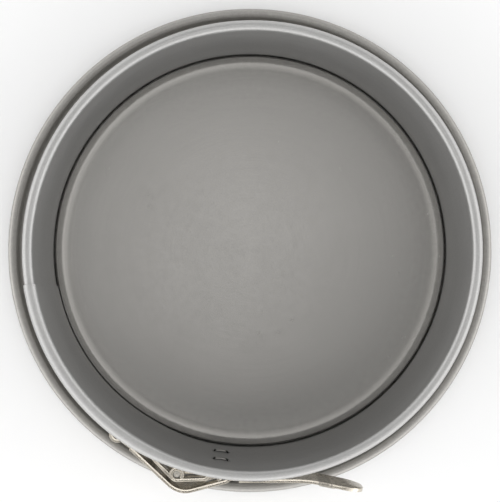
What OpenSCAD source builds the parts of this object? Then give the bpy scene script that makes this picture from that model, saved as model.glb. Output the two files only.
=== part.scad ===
// Loose-bottom cake pan: a springy side band with a rolled top edge stands on a
// separate base with a drip channel, and an over-centre latch pulls its ends together.
// Origin: centre of the base, on the surface it stands on. +Z is up, and the latch
// is on the side facing -Y.

/* [Side band] */
// Radius of the inside of the band, where it is one layer
band_r = 88.9; // [70:0.1:130]
// Height from the band's lower edge to the top of its rolled edge
band_h = 70; // [60:0.5:110]
// Thickness of the band's sheet
band_t = 0.45; // [0.35:0.05:0.6]
// Outside radius of the rolled top edge
bead_r = 2.2; // [1.8:0.05:3]
// Space between the two layers where the band overlaps itself
layer_gap = 0.1; // [0.05:0.05:0.15]
// Height of the middle of the pressed-out rib above the band's lower edge
rib_z = 3.2; // [3:0.1:8]
// Radius of the rib's section, to the middle of the sheet
rib_r = 1.8; // [1.6:0.1:2.4]
// Direction of the visible end of the inner layer, in degrees
seam_a = 188.6; // [180:0.1:200]
// How far the visible end leans over the height of the band
seam_lean = 3.3; // [0:0.1:6]
// Directions between which the inner layer steps out to one layer, in degrees
joggle_a0 = 238; // [236:0.5:242]
joggle_a1 = 258; // [254:0.5:260]

/* [Base] */
// Thickness of the base's sheet
base_t = 0.7; // [0.5:0.05:1]
// Height of the raised floor above the surface below
floor_z = 4.7; // [4:0.1:8]
// Radius of the rounded edge of the raised floor
shoulder_r = 1.6; // [1.5:0.1:3]
// Space between the floor's edge and the inner layer of the band
floor_gap = 0.2; // [0.15:0.05:0.6]
// Width of the flat drip channel, from the floor's edge to its outer bend
channel_w = 14.7; // [12:0.1:24]
// Radius of the bend from the channel up to the lip
lip_bend_r = 2.5; // [1.5:0.1:3]
// Height of the lip
lip_h = 7.3; // [6:0.1:12]
// Outside radius of the lip's rolled edge
lip_bead_r = 2.1; // [1.4:0.05:2.2]

/* [Latch] */
// Direction of the fulcrum pin, in degrees
fulcrum_a = 251.5; // [248:0.5:255]
// Height of the middle of the latch above the surface below
latch_z = 37.2; // [28:0.1:45]
// Height of the latch's sheet parts
latch_h = 26; // [22:0.5:32]
// Height of the fulcrum bracket's and the link's knuckles
knuckle_h = 7; // [5:0.5:8]
// Gap between neighbouring knuckles on one pin
knuckle_gap = 0.3; // [0.2:0.05:0.5]
// Thickness of the latch's sheet
latch_t = 1.5; // [1.2:0.05:1.6]
// Radius of the latch's pins
pin_r = 1.6; // [1.4:0.05:2]
// Size of the chamfer at a pin's ends
pin_chamfer = 0.3; // [0.2:0.05:0.5]
// Running clearance round a pin, in radius
pin_fit = 0.06; // [0.03:0.01:0.1]
// How far a pin's ends sit below the knuckles' ends
pin_sink = 0.8; // [0.3:0.1:1.5]
// Distance of the fulcrum pin from the band's surface
fulcrum_off = 9.6; // [9.5:0.1:12]
// Distance of the link pin along the band from the fulcrum pin
link_pin_s = 18; // [18:0.1:24]
// Distance of the link pin from the band's surface
link_pin_off = 5.9; // [5.7:0.1:8]
// Distance of the anchor pin along the band from the fulcrum pin
anchor_s = 27; // [27:0.1:31]
// Distance of the anchor pin from the band's surface
anchor_off = 6.4; // [6:0.1:7.5]

/* [Lever] */
// Height of the lever's handle
lever_h = 22; // [19:0.5:26]
// Distance from the link pin's eye, along the handle, to where it has its full height
lever_neck_s = 6.2; // [5:0.1:8]
// Distance along the band from the fulcrum pin to the bend of the handle
lever_bend_s = 50.5; // [46:0.5:54]
// Distance of that bend from the band's surface
lever_bend_off = 10.5; // [9:0.1:12]
// Distance along the band from the fulcrum pin to the lever's tip
lever_tip_s = 67.9; // [62:0.1:75]
// Distance of the lever's tip from the band's surface
lever_tip_off = 23; // [20:0.5:26]
// Radius of the lever's corners at its tip
lever_corner_r = 9; // [2:0.5:9]
// Distance from the lever's tip to the near side of its finger rib
finger_rib_s = 12; // [11:0.5:14]
// Width of the finger rib
finger_rib_w = 5.6; // [4:0.2:7]
// How far the finger rib stands out
finger_rib_t = 0.8; // [0.5:0.1:1.5]

/* [Link] */
// Distance along the band from the fulcrum pin to the middle of the link's outward bend
link_bow_s = 2.6; // [1:0.1:4]
// Distance of the outward bend from the band's surface
link_bow_off = 15.7; // [15:0.1:18]
// Distance along the band between the two folds of the outward bend
link_bow_w = 4.5; // [3:0.5:6]
// Distance along the band from the anchor pin to the link's first fold
link_neck_s = 7; // [7:0.5:9]
// Distance of that first fold from the band's surface
link_neck_off = 8; // [7:0.1:8.5]
// Height of the link's hook
hook_h = 18; // [17:0.5:25]
// Space between the hook and the anchor pin
hook_gap = 0.5; // [0.5:0.05:0.8]
// Extra room on the hook's far side, for the pin to slip out
hook_play = 0.5; // [0.4:0.05:0.7]

/* [Fulcrum bracket] */
// Distance along the band from the fulcrum pin to the bracket's riser
riser_s = 11.8; // [11:0.1:13]
// Distance of the riser's outer fold from the band's surface
riser_off = 8.2; // [7.5:0.1:9]
// Length of the foot along the band
foot_l = 8; // [7:0.5:10]
// Distance along the band from the fulcrum pin to the fold of the free leg
leg_s = 11; // [9:0.5:12]
// Distance of the free leg's fold from the band's surface
leg_off = 7; // [6:0.1:8]
// Distance along the band from the fulcrum pin to the toe of the free leg
toe_s = 18; // [16:0.5:20]
// Height of the two clinched staples
staple_h = 2.2; // [1.5:0.1:3]
// Thickness of the two clinched staples
staple_t = 0.7; // [0.4:0.05:0.9]
// Distance of each staple from the middle of the latch
staple_z = 10.8; // [8:0.1:11]
// Distance of a staple's legs from the ends of the foot
staple_inset = 1; // [0.8:0.1:1.5]

/* [Anchor bracket] */
// Height of the anchor plate
anchor_h = 22; // [20:0.5:25]
// Distance along the band from the anchor pin to the near end of the anchor plate
ear_reach = 3.6; // [3.2:0.1:5]
// Length of the anchor plate along the band
anchor_l = 16; // [12:0.5:20]
// Thickness of the anchor plate
anchor_t = 1.2; // [0.8:0.05:1.3]
// Height of the ear that holds the anchor pin
ear_h = 8; // [6:0.5:10]
// Radius of the rivets' shanks
rivet_r = 1.5; // [1.2:0.1:2]
// Radius of the rivets' heads
rivet_head_r = 2.6; // [2.2:0.1:3]
// Height of the rivets' heads
rivet_head_h = 0.9; // [0.6:0.1:1.2]
// Distance of each rivet from the middle of the latch
rivet_z = 7; // [6:0.5:8]

/* [Hidden] */
$fn = 180;

full_turn = 360;
half_turn = 180;

// Steps of the joggle and of a sector's outline
joggle_steps = 10;
sector_steps = 6;
// Curl of each rolled edge, as the direction where the sheet ends
bead_end_a = 210;
nested_bead_end_a = 240;
lip_end_a = 240;

// The band
layer_step = band_t + layer_gap;
seat_z = base_t;
band_top = seat_z + band_h;
bead_mid_r = band_r + bead_r;
bead_mid_z = band_top - bead_r;
band_out_r = band_r + band_t;
rib_mid_r = band_r + band_t / 2;
rib_mid_z = seat_z + rib_z;

// The base
floor_r = band_r - layer_step - floor_gap;
lip_in_r = floor_r + channel_w + lip_bend_r;
lip_bead_mid_r = lip_in_r + lip_bead_r;
lip_bead_mid_z = lip_h - lip_bead_r;

// The latch: levels of its knuckles, and the centres of its three pins
tongue_h = latch_h - 2 * (knuckle_h + knuckle_gap);
window_h = latch_h - 2 * knuckle_h;
eye_in_r = pin_r + pin_fit;
eye_out_r = eye_in_r + latch_t;
// Radius, inside an eye's wall, that the sheet runs to
root_share = 0.9;
eye_root_r = root_share * (eye_in_r + latch_t / 2);
fulcrum = at_wall(0, fulcrum_off);
link_end = at_wall(link_pin_s, link_pin_off);
anchor = at_wall(-anchor_s, anchor_off);
overrun = band_t;

// Lever: the handle's near part is a tangent of the link pin's eye
lever_bend = at_wall(lever_bend_s, lever_bend_off);
lever_tip = at_wall(lever_tip_s, lever_tip_off);
lever_root = tangent_point(lever_bend, link_end, eye_root_r, -1);

// Link
hook_in_r = pin_r + hook_gap;
hook_mid_r = hook_in_r + latch_t / 2;
hook_out_r = hook_in_r + latch_t;
hook_end_turn = 186;
hook_root_turn = 12;
link_neck = at_wall(link_neck_s - anchor_s, link_neck_off);
link_bow_a = at_wall(link_bow_s - link_bow_w / 2, link_bow_off);
link_bow_b = at_wall(link_bow_s + link_bow_w / 2, link_bow_off);
link_root = tangent_point(link_bow_b, link_end, eye_root_r, 1);

// Fulcrum bracket
riser_top = at_wall(riser_s, riser_off);
riser_foot = at_wall(riser_s, latch_t / 2);
leg_fold = at_wall(-leg_s, leg_off);
toe = at_wall(-toe_s, latch_t / 2 - layer_step / 2);
roof_a = tangent_point(riser_top, fulcrum, eye_root_r, -1);
roof_b = tangent_point(leg_fold, fulcrum, eye_root_r, 1);
// Share of the free leg, from the fulcrum pin to its fold, that the window cuts
leg_window_share = 0.6;
// Depth of a staple's bridge, from the band's surface to its outer face
staple_in = band_t + layer_gap;

// Anchor bracket
anchor_eye_r = eye_in_r + anchor_t;
anchor_plate_s = anchor_s + ear_reach;
ear_foot = at_wall(-anchor_plate_s, anchor_t / 2);
ear_root = tangent_point(ear_foot, anchor, root_share * (eye_in_r + anchor_t / 2), -1);
// Place of the rivets, as a share of the plate's length
rivet_share = 0.6;
rivet_s = anchor_plate_s + rivet_share * anchor_l;
// Height of the straight edge of a rivet's head, as a share of its height
rivet_edge_share = 0.35;

// A point at a distance along the band's surface from the fulcrum, and off that surface
function at_wall(along, off) = (band_out_r + off) * dir(wall_a(along));

// The direction of a place along the band's surface
function wall_a(along) = fulcrum_a + along / band_out_r * half_turn / PI;

function dir(a) = [cos(a), sin(a)];

function heading(p, q) = atan2(q[1] - p[1], q[0] - p[0]);

// The point where a line from p touches a circle, on the given side of the line of centres
function tangent_point(p, centre, r, side) =
    centre + r * dir(heading(centre, p) + side * acos(r / norm(p - centre)));

// Part of a disc between two directions
module sector(r, a0, a1) {
    step = (a1 - a0) / sector_steps;
    rim = [for (i = [0 : sector_steps]) 2 * r * dir(a0 + i * step)];
    intersection() {
        circle(r);
        polygon(concat([[0, 0]], rim));
    }
}

// A bent strip of sheet, seen on edge: part of a ring between two directions
module bend(r_mid, t, a0, a1) {
    difference() {
        sector(r_mid + t / 2, a0, a1);
        circle(r_mid - t / 2);
    }
}

// Sheet seen on edge, through a list of places in plan, with a round fold at each inner
// place. Its ends are square, and lie inside what they join.
module strip(points, t) {
    last = len(points) - 1;
    for (i = [1 : last])
        translate(points[i - 1])
            rotate(heading(points[i - 1], points[i]))
                translate([0, -t / 2])
                    square([norm(points[i] - points[i - 1]), t]);
    for (i = [1 : 1 : last - 1])
        disc(points[i], t / 2);
}

module disc(p, r) {
    translate(p)
        circle(r);
}

// What is drawn in plan, as an upright piece about the latch's middle
module upright(h) {
    translate([0, 0, latch_z - h / 2])
        linear_extrude(height = h)
            children();
}

// Sheet that lies along the band's surface, in plan
module wall_strip(s0, s1, t) {
    bend(band_out_r + t / 2, t, wall_a(s0), wall_a(s1));
}

// A block along the band's surface, for a staple or its slot
module wall_block(s0, s1, off, t, z0, h) {
    rotate([0, 0, wall_a(s0)])
        rotate_extrude(angle = wall_a(s1) - wall_a(s0))
            translate([band_out_r + off, z0])
                square([t, h]);
}

// Section of the band. Nested is 0 for the outer layer and 1 for the inner layer.
module band_section(nested) {
    wall_r = band_r - nested * layer_step;
    bead_out = bead_r + nested * layer_step;
    rib_mid = rib_r - nested * layer_step;
    end_a = bead_end_a + nested * (nested_bead_end_a - bead_end_a);
    difference() {
        translate([wall_r, seat_z])
            square([band_t, bead_mid_z - seat_z]);
        translate([rib_mid_r, rib_mid_z])
            circle(rib_mid);
    }
    intersection() {
        translate([rib_mid_r, rib_mid_z])
            difference() {
                circle(rib_mid + band_t / 2);
                circle(rib_mid - band_t / 2);
            }
        translate([wall_r, seat_z])
            square([band_t + 2 * rib_r, 2 * rib_z]);
    }
    translate([bead_mid_r, bead_mid_z])
        bend(bead_out - band_t / 2, band_t, end_a - full_turn, half_turn);
}

module band_run(a0, a1, nested) {
    rotate([0, 0, a0])
        rotate_extrude(angle = a1 - a0)
            band_section(nested);
}

// What is cut from the visible end of the inner layer, so that it leans
module seam_cut() {
    rotate([0, 0, seam_a])
        translate([band_r - 2 * band_t - rib_r, 0, 0])
            rotate([half_turn / 2, 0, half_turn / 2])
                linear_extrude(height = 2 * (band_t + bead_r) + rib_r)
                    polygon([[-overrun, seat_z - overrun], [seam_lean, seat_z - overrun],
                        [0, band_top + bead_r], [-overrun, band_top + bead_r]]);
}

// Slots through the band for the staples, and holes for the rivets
module band_cuts() {
    for (side = [-1, 1]) {
        for (end = [0, 1])
            wall_block(staple_s(end) - staple_t, staple_s(end) + staple_t,
                -2 * band_t, 3 * band_t, latch_z + side * staple_z - staple_h / 2 - pin_fit,
                staple_h + 2 * pin_fit);
        at_rivet(side)
            translate([0, 0, -band_t - layer_gap / 2])
                cylinder(r = rivet_r + pin_fit, h = 2 * anchor_t);
    }
}

// The place along the band of each leg of a staple
function staple_s(end) = riser_s + (end == 0 ? staple_inset : foot_l - staple_inset);

// Stands on the band's surface at a rivet, with +Z pointing away from the band
module at_rivet(side) {
    rotate([0, 0, wall_a(-rivet_s)])
        translate([band_out_r, 0, latch_z + side * rivet_z])
            rotate([0, half_turn / 2, 0])
                children();
}

// One rolled strip: its inner end is the seam, its outer end is under the anchor pin
module side_band() {
    joggle = (joggle_a1 - joggle_a0) / joggle_steps;
    color("silver")
        difference() {
            union() {
                difference() {
                    band_run(seam_a, joggle_a0, 1);
                    seam_cut();
                }
                for (i = [0 : joggle_steps - 1])
                    band_run(joggle_a0 + i * joggle, joggle_a0 + (i + 1) * joggle,
                        1 - (i + 0.5) / joggle_steps);
                band_run(joggle_a1, wall_a(-anchor_s) + full_turn, 0);
            }
            band_cuts();
        }
}

// Pressed disc: raised floor, flat drip channel and rolled lip
module base_plate() {
    color("gainsboro")
        rotate_extrude() {
            translate([0, floor_z - base_t])
                square([floor_r - shoulder_r, base_t]);
            translate([floor_r - shoulder_r, floor_z - shoulder_r])
                bend(shoulder_r - base_t / 2, base_t, 0, half_turn / 2);
            translate([floor_r - base_t, 0])
                square([base_t, floor_z - shoulder_r]);
            translate([floor_r - base_t, 0])
                square([channel_w + base_t, base_t]);
            translate([lip_in_r - lip_bend_r, base_t + lip_bend_r])
                bend(lip_bend_r + base_t / 2, base_t, -half_turn / 2, 0);
            translate([lip_in_r, base_t + lip_bend_r])
                square([base_t, lip_bead_mid_z - base_t - lip_bend_r]);
            translate([lip_bead_mid_r, lip_bead_mid_z])
                bend(lip_bead_r - base_t / 2, base_t, lip_end_a - full_turn, half_turn);
        }
}

// Round pin with a small chamfer at each end
module pin(p, h) {
    color("wheat")
        translate([p[0], p[1], latch_z - h / 2])
            rotate_extrude()
                polygon([[0, 0], [pin_r - pin_chamfer, 0], [pin_r, pin_chamfer],
                    [pin_r, h - pin_chamfer], [pin_r - pin_chamfer, h], [0, h]]);
}

module fulcrum_pin() {
    pin(fulcrum, latch_h - 2 * pin_sink);
}

module link_pin() {
    pin(link_end, latch_h - 2 * pin_sink);
}

module anchor_pin() {
    pin(anchor, hook_h - 2 * pin_sink);
}

// Tent of sheet on the band: a clinched foot, a roof that curls round the fulcrum pin,
// and a free leg. A window in its middle lets the lever's tongue through.
module fulcrum_bracket() {
    color("khaki") {
        difference() {
            upright(latch_h)
                difference() {
                    union() {
                        strip([riser_foot, riser_top, roof_a], latch_t);
                        strip([roof_b, leg_fold, toe], latch_t);
                        disc(fulcrum, eye_out_r);
                        wall_strip(riser_s, riser_s + foot_l, latch_t);
                    }
                    disc(fulcrum, eye_in_r);
                }
            tongue_window();
        }
        staples();
    }
}

// The two staples of the foot, which pass through the band and grip its inside
module staples() {
    for (side = [-1, 1]) {
        z0 = latch_z + side * staple_z - staple_h / 2;
        for (end = [0, 1])
            wall_block(staple_s(end) - staple_t / 2, staple_s(end) + staple_t / 2,
                -staple_in - staple_t / 2, staple_in + staple_t, z0, staple_h);
        wall_block(staple_s(0) - staple_t / 2, staple_s(1) + staple_t / 2,
            -staple_in - staple_t, staple_t, z0, staple_h);
    }
}

// Clear way for the lever's tongue, from the free leg to the foot
module tongue_window() {
    from = -leg_window_share * leg_s;
    to = link_pin_s + eye_out_r;
    upright(window_h)
        polygon([at_wall(from, leg_off / 2), at_wall(to, leg_off / 2),
            at_wall(to, 2 * fulcrum_off), at_wall(from, 2 * fulcrum_off)]);
}

// Handle plate with two eyes in its tongue, for the fulcrum pin and the link pin
module lever() {
    lean = heading(lever_root, lever_bend);
    neck = lever_root + lever_neck_s * dir(lean);
    color("khaki") {
        upright(tongue_h)
            difference() {
                union() {
                    strip([fulcrum, link_end], latch_t);
                    strip([lever_root, neck + latch_t * dir(lean)], latch_t);
                    disc(fulcrum, eye_out_r);
                    disc(link_end, eye_out_r);
                }
                disc(fulcrum, eye_in_r);
                disc(link_end, eye_in_r);
            }
        upright(lever_h) {
            strip([neck, lever_bend], latch_t);
            disc(lever_bend, latch_t / 2);
        }
        translate([lever_bend[0], lever_bend[1], latch_z - lever_h / 2])
            rotate([half_turn / 2, 0, heading(lever_bend, lever_tip)])
                translate([0, 0, -latch_t / 2]) {
                    linear_extrude(height = latch_t)
                        pad_outline(norm(lever_tip - lever_bend));
                    finger_rib(norm(lever_tip - lever_bend));
                }
    }
}

// The part of the handle past its bend, seen from outside, with round corners at its tip
module pad_outline(l) {
    square([l - lever_corner_r, lever_h]);
    translate([0, lever_corner_r])
        square([l, lever_h - 2 * lever_corner_r]);
    for (z = [lever_corner_r, lever_h - lever_corner_r])
        translate([l - lever_corner_r, z])
            circle(lever_corner_r);
}

// Wide low rib pressed out of the handle, which keeps a finger from slipping
module finger_rib(l) {
    translate([l - finger_rib_s - finger_rib_w, latch_t, latch_t / 2])
        cube([finger_rib_w, lever_h - 2 * latch_t, finger_rib_t]);
}

// Bowed plate: two knuckles on the link pin, and a hook that opens towards the band
module link() {
    color("khaki")
        difference() {
            union() {
                upright(latch_h)
                    difference() {
                        union() {
                            strip([link_neck, link_bow_a, link_bow_b, link_root], latch_t);
                            disc(link_neck, latch_t / 2);
                            disc(link_end, eye_out_r);
                        }
                        disc(link_end, eye_in_r);
                    }
                upright(hook_h)
                    link_hook();
            }
            knuckle_notch();
            ear_notch();
        }
}

// The hook in plan: an arc round the anchor pin, with room for the pin to slip out
module link_hook() {
    pull = heading(anchor, link_end);
    lean = heading(anchor, link_neck);
    middle = anchor - hook_play * dir(pull);
    strip([link_neck, middle + hook_mid_r * dir(lean - hook_root_turn)], latch_t);
    translate(middle)
        bend(hook_mid_r, latch_t, pull - hook_end_turn, lean);
}

// Space for the lever's eye between the link's knuckles
module knuckle_notch() {
    from = link_pin_s - 2 * eye_out_r;
    to = link_pin_s + 2 * eye_out_r;
    upright(window_h)
        polygon([at_wall(from, 0), at_wall(to, 0), at_wall(to, link_bow_off + latch_t),
            at_wall(from, link_bow_off + latch_t)]);
}

// Space for the anchor's ear in the link's hook
module ear_notch() {
    from = -anchor_s - 2 * hook_out_r;
    to = link_neck_s - anchor_s - latch_t;
    upright(ear_h + 2 * knuckle_gap)
        polygon([at_wall(from, 0), at_wall(to, 0), at_wall(to, 2 * anchor_off),
            at_wall(from, 2 * anchor_off)]);
}

// Plate on the outer layer of the band, with an ear that holds the anchor pin
module anchor_bracket() {
    color("khaki")
        difference() {
            union() {
                upright(anchor_h)
                    wall_strip(-anchor_plate_s - anchor_l, -anchor_plate_s, anchor_t);
                upright(ear_h)
                    difference() {
                        union() {
                            strip([ear_foot, ear_root], anchor_t);
                            disc(anchor, anchor_eye_r);
                        }
                        disc(anchor, eye_in_r);
                    }
            }
            for (side = [-1, 1])
                at_rivet(side)
                    cylinder(r = rivet_r + pin_fit, h = 4 * anchor_t, center = true);
        }
}

// Rivets with a low head outside, flush with the inside of the outer layer
module anchor_rivets() {
    color("wheat")
        for (side = [-1, 1])
            at_rivet(side) {
                translate([0, 0, -band_t])
                    cylinder(r = rivet_r, h = band_t + anchor_t);
                translate([0, 0, anchor_t])
                    rotate_extrude()
                        polygon([[0, 0], [rivet_head_r, 0], [rivet_head_r, rivet_edge_share * rivet_head_h],
                            [rivet_r, rivet_head_h], [0, rivet_head_h]]);
            }
}

base_plate();
side_band();
fulcrum_bracket();
fulcrum_pin();
lever();
link_pin();
link();
anchor_bracket();
anchor_pin();
anchor_rivets();
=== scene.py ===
# %% [markdown]
# # A loose-bottom cake pan
# A springy side band stands on a separate base, and an over-centre latch on the band
# pulls its two ends together. Everything here is sheet metal: a pressed disc, a rolled
# strip and a few small folded plates on round pins. The solids of the pan are loaded
# first. They fix where each piece is and how it moves, and each new piece below is
# modelled over its solid, with the bends, hems and finish that the solid leaves out.

import math

import bmesh
import bpy
from mathutils import Matrix, Vector


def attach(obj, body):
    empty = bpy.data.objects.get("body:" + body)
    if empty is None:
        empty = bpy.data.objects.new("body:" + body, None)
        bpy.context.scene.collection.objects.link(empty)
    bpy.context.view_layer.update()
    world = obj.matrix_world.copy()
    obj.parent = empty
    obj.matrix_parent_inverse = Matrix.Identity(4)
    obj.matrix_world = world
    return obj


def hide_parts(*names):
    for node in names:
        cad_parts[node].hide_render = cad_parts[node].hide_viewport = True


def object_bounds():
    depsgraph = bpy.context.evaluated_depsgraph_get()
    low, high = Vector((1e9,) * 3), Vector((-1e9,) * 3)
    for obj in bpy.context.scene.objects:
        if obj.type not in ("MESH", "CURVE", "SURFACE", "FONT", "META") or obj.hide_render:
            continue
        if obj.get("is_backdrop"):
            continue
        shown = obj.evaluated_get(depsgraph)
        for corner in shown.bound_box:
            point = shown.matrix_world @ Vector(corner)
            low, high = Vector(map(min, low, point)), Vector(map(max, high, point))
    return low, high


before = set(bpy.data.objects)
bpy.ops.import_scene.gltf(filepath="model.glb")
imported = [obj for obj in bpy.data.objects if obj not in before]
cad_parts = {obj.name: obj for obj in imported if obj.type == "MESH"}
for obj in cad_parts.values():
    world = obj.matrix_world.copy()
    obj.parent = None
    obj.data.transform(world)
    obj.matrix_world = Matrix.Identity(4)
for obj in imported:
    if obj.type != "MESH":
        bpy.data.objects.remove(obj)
cad_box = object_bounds()
MM = 0.001
print("solids:", sorted(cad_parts))

# %% [markdown]
# ## The view
# The photograph looks straight down from about eight pan heights above, and a little to
# the left of the middle, so the inside of the wall shows all the way round and more of
# it on the right. The camera also looks straight down, so that circles stay round, and
# its frame is shifted sideways until the pan is in the middle, as a view camera's is.
# The frame's long side is its height, 502 pixels.

# %% Camera
FRAME_PIXELS = 502
FOCAL_PIXELS = 1302
SENSOR = 36
SHIFT_PIXELS = (21.7, -2.5)
CAMERA_PLACE = (-9.76, 0.9, 595.7)

lens = bpy.data.cameras.new("lens")
lens.sensor_width = SENSOR
lens.lens = SENSOR * FOCAL_PIXELS / FRAME_PIXELS
lens.shift_x, lens.shift_y = (pixels / FRAME_PIXELS for pixels in SHIFT_PIXELS)
camera = bpy.data.objects.new("camera", lens)
camera.location = Vector(CAMERA_PLACE) * MM
bpy.context.scene.collection.objects.link(camera)
bpy.context.scene.camera = camera
print("lens", round(lens.lens, 1), "mm, height", round(camera.location.z, 3), "m")

# %% [markdown]
# ## Working by hand, in code
# The pieces are shaped with the same operators as at the keyboard. An operator acts on
# all that is selected, so a piece starts with nothing selected, and points, edges and
# faces are picked by where they are. Without a window, spin and rotate turn clockwise
# for a positive angle, so each call that turns something changes the sign.


# %% Selecting and shaping
def fresh():
    """Goes back to object mode with nothing selected."""
    if bpy.context.mode != "OBJECT":
        bpy.ops.object.mode_set(mode="OBJECT")
    bpy.ops.object.select_all(action="DESELECT")


def edit(piece):
    """Opens one piece in edit mode, with all of it selected."""
    fresh()
    bpy.context.view_layer.objects.active = piece
    piece.select_set(True)
    bpy.ops.object.mode_set(mode="EDIT")
    bpy.ops.mesh.select_mode(type="VERT")
    bpy.ops.mesh.select_all(action="SELECT")


def pick(kind, test):
    """Selects only the points, edges or faces (VERT, EDGE, FACE) whose middle passes."""
    bpy.ops.mesh.select_mode(type=kind)
    bpy.ops.mesh.select_all(action="DESELECT")
    shape = bpy.context.object.data
    mesh = bmesh.from_edit_mesh(shape)
    parts = {"VERT": mesh.verts, "EDGE": mesh.edges, "FACE": mesh.faces}[kind]
    found = 0
    for part in parts:
        corners = [part] if kind == "VERT" else list(part.verts)
        if test(sum((v.co for v in corners), Vector()) / len(corners)):
            part.select_set(True)
            found += 1
    if kind == "VERT":
        mesh.select_flush(True)
    bmesh.update_edit_mesh(shape)
    return found


def spin_round(turn, steps):
    """Sweeps the selected line round the pan's axis, anticlockwise seen from above."""
    bpy.ops.mesh.spin(
        steps=steps, angle=-math.radians(turn), center=(0, 0, 0), axis=(0, 0, 1)
    )


def modify(piece, kind, **settings):
    """Adds a modifier with these settings and applies it."""
    fresh()
    bpy.context.view_layer.objects.active = piece
    piece.select_set(True)
    modifier = piece.modifiers.new(kind.lower(), kind)
    for name, value in settings.items():
        setattr(modifier, name, value)
    bpy.ops.object.modifier_apply(modifier=modifier.name)


fresh()
print("nothing selected:", not bpy.context.selected_objects)


# %% [markdown]
# ## Sheet metal
# All of the pan but its pins and rivets is sheet, so one way of working serves. A chain of
# edges is drawn along the middle of the sheet, as it is seen on edge. For a round part
# the chain is spun, and for a folded plate it is pulled up to the plate's height. Then
# the sheet gets its thickness, and its cut edges are rounded a little. A solid block cut
# to shape would be more work, because a sheet has the same thickness round every fold.


# %% Sheet helpers
SMOOTH_ANGLE = math.radians(32)
EDGE_ANGLE = math.radians(45)
SAME_PLACE = 0.002 * MM


def arc(centre, radius, start, end, steps):
    """Places along an arc, from one direction to another, in degrees."""
    turns = [math.radians(start + (end - start) * i / steps) for i in range(steps + 1)]
    return [(centre[0] + radius * math.cos(t), centre[1] + radius * math.sin(t)) for t in turns]


def draw_chain(name, places):
    """Draws edges through the places (mm), from a plane pulled together to a point."""
    fresh()
    start = Vector(places[0]) * MM
    bpy.ops.mesh.primitive_plane_add(size=MM, location=start)
    piece = bpy.context.object
    piece.name = piece.data.name = name
    bpy.ops.object.transform_apply(location=True, rotation=True, scale=True)
    edit(piece)
    bpy.ops.mesh.merge(type="CENTER")
    for here, there in zip(places, places[1:]):
        step = (Vector(there) - Vector(here)) * MM
        bpy.ops.mesh.extrude_vertices_move(TRANSFORM_OT_translate={"value": step})
    bpy.ops.mesh.select_all(action="SELECT")
    return piece


def thicken(piece, thickness, rounding=0.0):
    """Joins what coincides, gives the sheet its thickness and rounds its cut edges."""
    edit(piece)
    bpy.ops.mesh.remove_doubles(threshold=SAME_PLACE)
    bpy.ops.mesh.normals_make_consistent(inside=False)
    modify(piece, "SOLIDIFY", thickness=thickness * MM, offset=0, use_even_offset=True)
    if rounding:
        settings = {"limit_method": "ANGLE", "angle_limit": EDGE_ANGLE}
        modify(piece, "BEVEL", width=rounding * MM, segments=2, **settings)


def shade(piece):
    """Smooth shading that stops at real corners."""
    fresh()
    bpy.context.view_layer.objects.active = piece
    piece.select_set(True)
    bpy.ops.object.shade_smooth_by_angle(angle=SMOOTH_ANGLE)
    print(piece.name, len(piece.data.polygons), "faces")


print("smooth up to", round(math.degrees(SMOOTH_ANGLE)), "degrees")

# %% [markdown]
# ## Materials
# A finish is built from a few patterns. Its maths could be drawn as boxes and lines in
# the node editor, but it is easier to read as plain sums. The class below wraps one
# socket of a shader node, and adding or multiplying two of them adds the node for it.


# %% Shader maths
class Wire:
    """One socket of a shader node that takes part in sums and products."""

    def __init__(self, finish, socket):
        self.finish = finish
        self.socket = socket

    def maths(self, operation, first, second):
        return self.finish.node(
            "ShaderNodeMath", {"operation": operation}, {0: first, 1: second}
        )

    def __add__(self, other):
        return self.maths("ADD", self, other)

    def __radd__(self, other):
        return self.maths("ADD", other, self)

    def __sub__(self, other):
        return self.maths("SUBTRACT", self, other)

    def __rsub__(self, other):
        return self.maths("SUBTRACT", other, self)

    def __mul__(self, other):
        return self.maths("MULTIPLY", self, other)

    def __rmul__(self, other):
        return self.maths("MULTIPLY", other, self)

    def __truediv__(self, other):
        return self.maths("DIVIDE", self, other)

    def __pow__(self, other):
        return self.maths("POWER", self, other)


print("a socket can stand in sums with + - * / and **")


# %% [markdown]
# ### Nodes of a finish
# One method adds any node: its settings come first, then the values and links of its
# sockets. The other methods are short names for the few nodes that the finishes share,
# so that a finish below reads as a list of patterns.


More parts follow.
